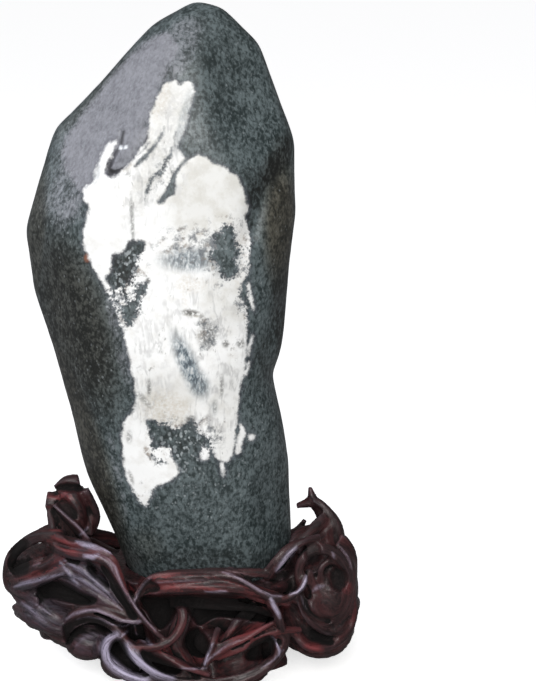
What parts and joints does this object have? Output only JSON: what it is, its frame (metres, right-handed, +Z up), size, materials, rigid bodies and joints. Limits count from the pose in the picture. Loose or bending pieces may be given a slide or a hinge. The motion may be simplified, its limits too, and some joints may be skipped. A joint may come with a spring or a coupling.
{
  "type": "scholars rock",
  "caption": "Tall dark river stone with a white mineral vein, standing upright in a low stand carved as twisted roots.",
  "frame": {"origin": "on the floor, under the middle of the whole object's box", "axes": "+Z up along the stone, -Y out of the front that shows the vein, +X to the right as seen from the front"},
  "size_m": [0.1853, 0.1038, 0.3426],
  "materials": {
    "stone": "water-worn, fine-grained dark grey-green stone with a satin polish and a white mineral vein",
    "stand": "dark reddish-brown hardwood, carved, with a thin semi-gloss lacquer"
  },
  "bodies": {
    "root": {"stone": "stone", "stand": "stand"}
  },
  "joints": []
}
